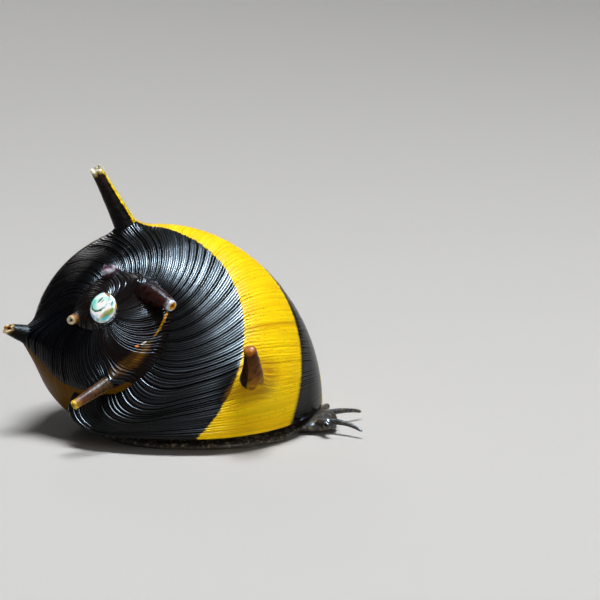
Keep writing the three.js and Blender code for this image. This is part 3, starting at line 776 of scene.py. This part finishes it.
def horn_finish(name, ramp_side, flank_side, flank_from=0.35):
    """Colours along the horn, a run on the ramp's side and one on the flank's, mottled and finely lined."""
    material, tree, shader = finish(name, Specular_IOR_Level=HORN_SHINE)
    lie = node(tree, "UVMap", uv_map="lie").outputs["UV"]
    part = node(tree, "SeparateXYZ", {0: lie}).outputs
    place = node(tree, "TexCoord").outputs["Object"]
    mottle = noise(tree, place, HORN_MOTTLES / MM, 4, 0.7)
    centred = maths(tree, "SUBTRACT", mottle, 0.5)
    along = maths(tree, "DIVIDE", maths(tree, "MULTIPLY_ADD", centred, 0.05, part[1]), BORE_TO)
    colour = ramped(tree, along, [(at / BORE_TO, tint) for at, tint in ramp_side])
    if flank_side:
        other = ramped(tree, along, [(at / BORE_TO, tint) for at, tint in flank_side])
        turned = maths(tree, "MULTIPLY_ADD", part[0], 2 * math.pi, -FLANK_TURN)
        facing = maths(tree, "MULTIPLY_ADD", centred, 0.7, maths(tree, "COSINE", turned))
        colour = mixed(tree, ranged(tree, facing, flank_from, flank_from + FLANK_BLEND), colour, other)
    colour = mixed(tree, 1.0, colour, ranged(tree, mottle, 0.35, 0.6, 0.45, 1.15), "MULTIPLY")
    tree.links.new(colour, shader.inputs["Base Color"])
    tree.links.new(ranged(tree, mottle, 0.3, 0.7, 0.2, 0.42), shader.inputs["Roughness"])
    grains, lines = noise(tree, place, HORN_GRAINS / MM, 2), noise(tree, lie, HORN_LINES, 3)
    bumped(tree, shader, maths(tree, "MULTIPLY_ADD", grains, 0.8, lines), 0.7, HORN_RELIEF)
    return material


for seed, horn in enumerate(HORNS):
    name = "horn_" + horn["name"]
    rings, lie = horn_rings(horn, seed)
    lie = np.concatenate([lie.reshape(-1, 2), [[0.5, 0.0], [0.5, BORE_TO]]])
    horn_look = horn_finish(name, *HORN_COLOURS[horn["name"]])
    tube = make_piece(name, with_poles(rings), capped(rings), [horn_look], lie)
    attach(tube, "root")
    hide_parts("shell_spire" if horn["turn"] < BODY_HORNS_FROM else "shell_body_whorl")

# The worn apex: the first turns, rubbed down to the nacre, which shows as a small round window of shifting
# green, gold and white with the last of the coil as a dark crescent in it.
NACRE_HALF = (0.78, 0.92)
NACRE_SHIFT = (-0.065, 0.2)
NACRE_RISE = -0.08
NACRE_EDGE = -0.27
NACRE_DEEP = -0.8
NACRE_ROWS = 24
NACRE_AROUND = 64
NACRE_PLUG = 0.95
NACRE_WARP = 0.45
NACRE_CLOUDS = 2.6
CLOUDS_FROM = (7, 3, 0)
NACRE_RELIEF = 0.04
NACRE_SHEEN = [(0.3, (0.1, 0.5, 0.5, 1)), (0.42, (0.55, 0.75, 0.72, 1)), (0.5, (1.0, 0.98, 0.95, 1)),
               (0.62, (0.95, 0.85, 0.86, 1)), (0.7, (0.4, 0.68, 0.9, 1))]
NACRE_SPOTS = [
    ((-0.24, 0.3), (0.66, 0.62), 0, (0.1, 0.42, 0.36, 1), 1.0, 0.12),
    ((-0.27, 0.25), (0.6, 0.56), 0, (0.02, 0.06, 0.015, 1), 1.0, 0.06),
    ((-0.2, 0.38), (0.62, 0.58), 0, (0.5, 0.84, 0.76, 1), 1.0, 0.06),
    ((-0.62, 0.3), (0.2, 0.45), 20, (0.16, 0.72, 0.6, 1), 0.9, 0.6),
    ((-0.1, 0.2), (0.42, 0.3), 20, (1.0, 0.9, 0.88, 1), 0.95, 0.7),
    ((-0.05, 0.72), (0.5, 0.12), 10, (0.9, 0.97, 1.0, 1), 0.9, 0.7),
    ((-0.14, 0.46), (0.27, 0.08), 38, (0.0, 0.2, 0.12, 1), 0.95, 0.6),
    ((0.05, 0.36), (0.16, 0.06), 40, (0.05, 0.15, 0.18, 1), 0.6, 0.6),
    ((0.4, -0.5), (0.62, 0.2), 28, (0.3, 0.27, 0.012, 1), 0.9, 0.75),
    ((0.42, -0.62), (0.4, 0.12), 28, (0.05, 0.2, 0.12, 1), 0.7, 0.8),
    ((0.7, -0.35), (0.2, 0.1), 50, (0.12, 0.3, 0.02, 1), 0.8, 0.4),
    ((0.2, -0.8), (0.32, 0.09), 18, (0.05, 0.5, 0.62, 1), 0.9, 0.4),
    ((-0.75, -0.5), (0.3, 0.08), -55, (0.2, 0.45, 0.75, 1), 0.8, 0.5),
    ((-0.4, -0.72), (0.2, 0.07), -45, (0.1, 0.5, 0.5, 1), 0.7, 0.5),
    ((0.78, 0.18), (0.22, 0.1), 60, (0.02, 0.22, 0.24, 1), 0.9, 0.4),
    ((0.48, 0.83), (0.5, 0.15), -35, (0.22, 0.13, 0.004, 1), 1.0, 0.3),
    ((0.98, -0.05), (0.25, 0.06), 85, (0.6, 0.4, 0.01, 1), 0.9, 0.4),
]

nacre_look, tree, shader = finish("apex_nacre", Base_Color=(0.6, 0.66, 0.62, 1), Roughness=0.2,
                                  Specular_IOR_Level=0.3)
lie = node(tree, "UVMap", uv_map="lie").outputs["UV"]
part = node(tree, "SeparateXYZ", {0: lie}).outputs
warp = maths(tree, "SUBTRACT", noise(tree, lie, 2.4, 4, 0.6), 0.5)
warp = maths(tree, "MULTIPLY", warp, NACRE_WARP)
clouds = noise(tree, node(tree, "Mapping", {0: lie, 1: CLOUDS_FROM}).outputs[0], NACRE_CLOUDS, 3)
colour = spotted(tree, ramped(tree, clouds, NACRE_SHEEN), part, warp, NACRE_SPOTS)
tree.links.new(colour, shader.inputs["Base Color"])
bumped(tree, shader, noise(tree, lie, 6, 4), 0.5, NACRE_RELIEF)

wide = view_right - axis * (axis @ view_right)
wide /= np.linalg.norm(wide)
tall = np.cross(axis, wide)
nacre_middle = COIL_APEX + NACRE_SHIFT[0] * wide + NACRE_SHIFT[1] * tall
reach = np.sin(np.linspace(0, math.pi / 2, NACRE_ROWS + 1))[1:, None, None]
angle = np.linspace(0, 2 * math.pi, NACRE_AROUND, endpoint=False)[None, :, None]
spoke = NACRE_HALF[0] * np.cos(angle) * wide + NACRE_HALF[1] * np.sin(angle) * tall
height = NACRE_EDGE + (NACRE_RISE - NACRE_EDGE) * np.sqrt(1 - reach ** 2)
dome = nacre_middle + axis * height + spoke * reach
plug = nacre_middle + axis * NACRE_DEEP + spoke * NACRE_PLUG
rings = np.concatenate([dome, plug])
points = with_poles(rings, nacre_middle + axis * NACRE_RISE, nacre_middle + axis * NACRE_DEEP)
lie = np.concatenate([reach, [[[NACRE_PLUG]]]]) * np.concatenate([np.cos(angle), np.sin(angle)], -1)
lie = np.concatenate([lie.reshape(-1, 2), np.zeros((2, 2))])
nacre = make_piece("apex_nacre_window", points, capped(rings), [nacre_look], lie)
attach(nacre, "root")
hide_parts("apex_nacre")

# The callus: the smooth glossy deck of lime that fills the underside behind the mouth, level with the lip. A
# pile of ovals, [height, half length, half width], whose edge ends within the wall of the shell all round.
DECK_MIDDLE = np.array([-1.0, 0.579])
DECK_LAYERS = [[0.93, 2.0, 1.7], [0.9, 4.2, 3.4], [0.96, 5.2, 4.3], [1.15, 5.75, 4.85], [1.4, 6.1, 5.2],
               [2.3, 5.2, 4.4], [2.5, 3.0, 2.6]]
DECK_SUNK = 0.3
DECK_AROUND = 96
WALL_SOUGHT_ABOVE = 0.2

wall = BVHTree.FromObject(body, bpy.context.evaluated_depsgraph_get())
rings = np.empty((len(DECK_LAYERS), DECK_AROUND, 3))
for row, (z, long, broad) in enumerate(DECK_LAYERS):
    start = Vector((DECK_MIDDLE[0] * MM, DECK_MIDDLE[1] * MM, (z + WALL_SOUGHT_ABOVE) * MM))
    for column, at in enumerate(np.linspace(0, 2 * math.pi, DECK_AROUND, endpoint=False)):
        way = np.array([long * math.cos(at), broad * math.sin(at), 0.0])
        size = np.linalg.norm(way)
        way /= size
        hit = wall.ray_cast(start, Vector(way), size * MM)[3]
        size = size if hit is None else min(size, hit / MM + DECK_SUNK)
        rings[row, column] = [*(DECK_MIDDLE + way[:2] * size), z]
deck_look = finish("callus", Base_Color=(0.55, 0.46, 0.26, 1), Roughness=0.2)[0]
deck = make_piece("columella_deck_callus", with_poles(rings), capped(rings), [deck_look])
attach(deck, "root")
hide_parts("columella_deck")

# The soft body: a flat-soled foot under the whole mouth of the shell, the neck that joins it to what is
# inside, a broad two-lobed snout, and a pair of long feelers with an eye stalk at the outer side of each
# root. It is one wet skin, grey black with fine pale speckles, and paler on the sole.
foot_low, foot_high = (np.array(corner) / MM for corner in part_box("foot"))
head_low, head_high = (np.array(corner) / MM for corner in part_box("head"))
FOOT_MIDDLE = (foot_low + foot_high)[:2] / 2
FOOT_HALF = (foot_high - foot_low)[:2] / 2
MIDLINE = (head_low + head_high)[1] / 2
FOOT_LAYERS = [[0.0, 0.8, 0.93], [0.0, 0.93, 0.93], [0.08, 0.985, 0.985], [0.22, 1.0, 1.0],
               [0.38, 0.985, 0.985], [0.52, 0.93, 0.93], [0.66, 0.8, 0.82], [1.1, 0.6, 0.62],
               [1.9, 0.45, 0.5]]
FOOT_RIPPLES = [(9, 0.012, 0.4), (23, 0.006, 1.9)]
HEAD_STATIONS = [[-3.4, 1.6, 0.08, 0.5], [-2.4, 1.45, 0.06, 0.62], [-1.5, 1.62, 0.05, 0.88],
                 [-0.8, 1.58, 0.04, 1.03], [-0.4, 1.3, 0.06, 0.95], [-0.12, 0.95, 0.14, 0.8],
                 [-0.02, 0.5, 0.3, 0.6]]
SNOUT_NOTCH = 0.22
NOTCH_WIDTH = 0.22
SNOUT_SQUARENESS = 0.8
FEELER = [(-1.1, 0.75, 0.6), (-0.2, 1.15, 0.85), (0.7, 1.7, 0.75), (1.38, 2.4, 0.45)]
FEELER_RADIUS = [0.26, 0.1]
EYE_STALK = [(-1.2, 1.1, 0.6), (-0.9, 1.6, 0.75), (-0.75, 2.0, 0.8), (-0.62, 2.3, 0.78)]
EYE_STALK_RADIUS = [0.3, 0.2]
EYE_RADIUS = 0.17
TAPER = 0.7
TIP_FROM = 0.96
TIP_RUN = 0.045
VOXEL = 0.055
SMOOTHINGS = 6
FLESH_DARK = (0.022, 0.019, 0.018, 1)
FLESH_SPECKLE = (0.3, 0.24, 0.14, 1)
SOLE_PALE = (0.16, 0.13, 0.1, 1)
SOLE_EDGE = (0.05, 0.25)
SPECKLES = 4.5
SKIN_CELLS = 7.0
SKIN_RELIEF = 0.03


def level_rings(layers, ripples, columns=96):
    """Level ovals about the foot's middle, [height, share of half length, share of half width], rippled."""
    angle = np.linspace(0, 2 * math.pi, columns, endpoint=False)[None, :]
    z, long, wide = (np.array(layers)[:, k][:, None] for k in range(3))
    wave = 1 + sum(size * np.sin(count * angle + start) for count, size, start in ripples)
    x = FOOT_MIDDLE[0] + FOOT_HALF[0] * long * np.cos(angle) * wave
    y = FOOT_MIDDLE[1] + FOOT_HALF[1] * wide * np.sin(angle) * wave
    return np.stack([x, y, z + 0 * x], -1)


def head_rings(columns=48):
    """Upright ovals along the midline, squarish, [place, half width, low, high], the last ones drawn back at
    the middle into two lobes."""
    angle = np.linspace(0, 2 * math.pi, columns, endpoint=False)[None, :]
    x, half, low, high = (np.array(HEAD_STATIONS)[:, k][:, None] for k in range(4))
    side = np.sign(np.cos(angle)) * np.abs(np.cos(angle)) ** SNOUT_SQUARENESS
    tall = np.sign(np.sin(angle)) * np.abs(np.sin(angle)) ** SNOUT_SQUARENESS
    notch = SNOUT_NOTCH * np.exp(-(half * side / NOTCH_WIDTH) ** 2) * np.clip(x + 1.0, 0, 1)
    z = (low + high) / 2 + (high - low) / 2 * tall
    return np.stack([head_high[0] + x - notch, MIDLINE + half * side, z], -1)


def tapered(path, radius, side, rows=18, columns=16):
    """A tube round a cubic path, given from the head's front and the midline, from its first radius to its
    last, closed by a round end."""
    corners = [np.array([head_high[0] + x, MIDLINE + side * y, z]) for x, y, z in path]
    u = np.linspace(0, 1, rows)
    line = bezier(*corners, u)
    way = np.gradient(line, axis=0)
    way /= np.linalg.norm(way, axis=1, keepdims=True)
    across = np.cross(way, [0, 0, 1.0])
    across /= np.linalg.norm(across, axis=1, keepdims=True)
    over = np.cross(across, way)
    rounded = np.clip(1 - ((u - TIP_FROM) / TIP_RUN) ** 2 * (u > TIP_FROM), 0.02, 1)
    size = (radius[0] + (radius[1] - radius[0]) * u ** TAPER) * np.sqrt(rounded)
    angle = np.linspace(0, 2 * math.pi, columns, endpoint=False)[None, :, None]
    ring = np.cos(angle) * across[:, None] + np.sin(angle) * over[:, None]
    return line[:, None] + size[:, None, None] * ring


def joined(forms):
    """The points and faces of several closed forms, one after another."""
    points, faces, start = [], [], 0
    for rings in forms:
        points.append(with_poles(rings))
        faces += [block + start for block in capped(rings)]
        start += rings.shape[0] * rings.shape[1] + 2
    return np.concatenate(points), faces


def skin_over(piece, voxel, rounds):
    """One skin over joined forms: remeshed and smoothed while its points are still in millimetres."""
    remesh = piece.modifiers.new("skin", "REMESH")
    remesh.mode = "VOXEL"
    remesh.voxel_size = voxel
    smooth = piece.modifiers.new("smooth", "SMOOTH")
    smooth.factor, smooth.iterations = 0.5, rounds
    shown = piece.evaluated_get(bpy.context.evaluated_depsgraph_get())
    skin = bpy.data.meshes.new_from_object(shown)
    piece.modifiers.clear()
    piece.data = skin
    skin.polygons.foreach_set("use_smooth", np.ones(len(skin.polygons), dtype=bool))


flesh_look, tree, shader = finish("wet_flesh", Base_Color=(0.03, 0.026, 0.024, 1), Roughness=0.3,
                                  Subsurface_Weight=0.15, Subsurface_Radius=(0.4 * MM, 0.2 * MM, 0.1 * MM))
place = node(tree, "TexCoord").outputs["Object"]
pale = ranged(tree, noise(tree, place, SPECKLES / MM, 5, 0.7), 0.53, 0.62)
height = node(tree, "SeparateXYZ", {0: place}).outputs[2]
colour = mixed(tree, pale, FLESH_DARK, FLESH_SPECKLE)
sole = ranged(tree, height, SOLE_EDGE[0] * MM, SOLE_EDGE[1] * MM, 1.0, 0.0)
colour = mixed(tree, sole, colour, SOLE_PALE)
tree.links.new(colour, shader.inputs["Base Color"])
cells = node(tree, "TexVoronoi", {0: place, "Scale": SKIN_CELLS / MM}).outputs[0]
bumped(tree, shader, cells, 0.5, SKIN_RELIEF)

forms = [level_rings(FOOT_LAYERS, FOOT_RIPPLES), head_rings()]
forms += [tapered(FEELER, FEELER_RADIUS, side) for side in (1, -1)]
forms += [tapered(EYE_STALK, EYE_STALK_RADIUS, side) for side in (1, -1)]
points, faces = joined(forms)
flesh = make_piece("flesh_skin", points / MM, faces, [flesh_look])
skin_over(flesh, VOXEL, SMOOTHINGS)
flesh.data.transform(Matrix.Scale(MM, 4))
low_points = np.empty(len(flesh.data.vertices) * 3)
flesh.data.vertices.foreach_get("co", low_points)
low_points = low_points.reshape(-1, 3)
low_points[:, 2] = np.maximum(low_points[:, 2], 0)
flesh.data.vertices.foreach_set("co", low_points.ravel())
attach(flesh, "root")
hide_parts("foot", "head", "tentacle_left", "tentacle_right")

# The eyes: a small black bead, wet and glossy, at the end of each stalk, half of it sunk in the flesh.
EYE_UPWARDS = 17
EYE_AROUND = 32
eye_look = finish("eye_black", Base_Color=(0.004, 0.004, 0.005, 1), Roughness=0.05)[0]
polar = np.linspace(0, math.pi, EYE_UPWARDS + 1)[1:-1, None, None]
angle = np.linspace(0, 2 * math.pi, EYE_AROUND, endpoint=False)[None, :, None]
round_way = np.concatenate(np.broadcast_arrays(np.sin(polar) * np.cos(angle), np.sin(polar) * np.sin(angle),
                                               np.cos(polar)), -1)
for name, side in (("left", 1), ("right", -1)):
    middle = np.array([head_high[0], MIDLINE, 0]) + np.array(EYE_STALK[-1]) * [1, side, 1]
    ball = middle + EYE_RADIUS * round_way
    points = with_poles(ball, middle + [0, 0, EYE_RADIUS], middle - [0, 0, EYE_RADIUS])
    eye = make_piece("eye_bead_" + name, points, capped(ball), [eye_look])
    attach(eye, "root")
    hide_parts("eye_" + name)
